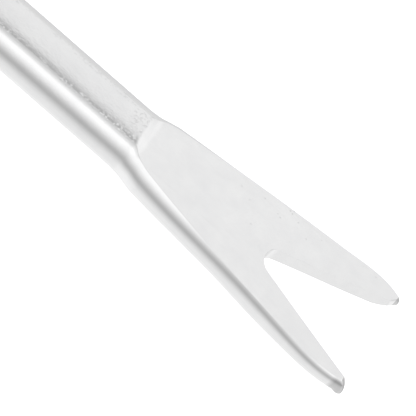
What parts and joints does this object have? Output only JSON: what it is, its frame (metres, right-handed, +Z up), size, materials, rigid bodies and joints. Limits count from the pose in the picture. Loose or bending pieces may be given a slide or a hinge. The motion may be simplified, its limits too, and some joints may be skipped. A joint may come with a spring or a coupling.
{
  "type": "spudger",
  "caption": "Double-ended metal spudger: a V-notched forked pushing blade and a flat spade blade, both pressed from bar, held in an insulated hexagonal handle with soft grips.",
  "frame": {"origin": "on the bench plane, under the middle of the handle, where the bounding box's bottom centre is", "axes": "+X along the tool towards the fork's tips, +Y across the blades, +Z up, square to the blades' faces"},
  "size_m": [0.16, 0.0112, 0.01],
  "materials": {
    "blade_chrome": "polished",
    "handle_plastic": "semi-gloss",
    "grip_rubber": "matte",
    "ferrule_steel": "satin, turned",
    "pin_steel": "ground"
  },
  "bodies": {
    "root": {"fork_blade": "blade_chrome", "spade_blade": "blade_chrome", "handle_body": "handle_plastic", "fork_grip_sleeve": "grip_rubber", "spade_grip_sleeve": "grip_rubber", "fork_ferrule": "ferrule_steel", "spade_ferrule": "ferrule_steel", "fork_tang_pin": "pin_steel", "spade_tang_pin": "pin_steel"}
  },
  "joints": []
}
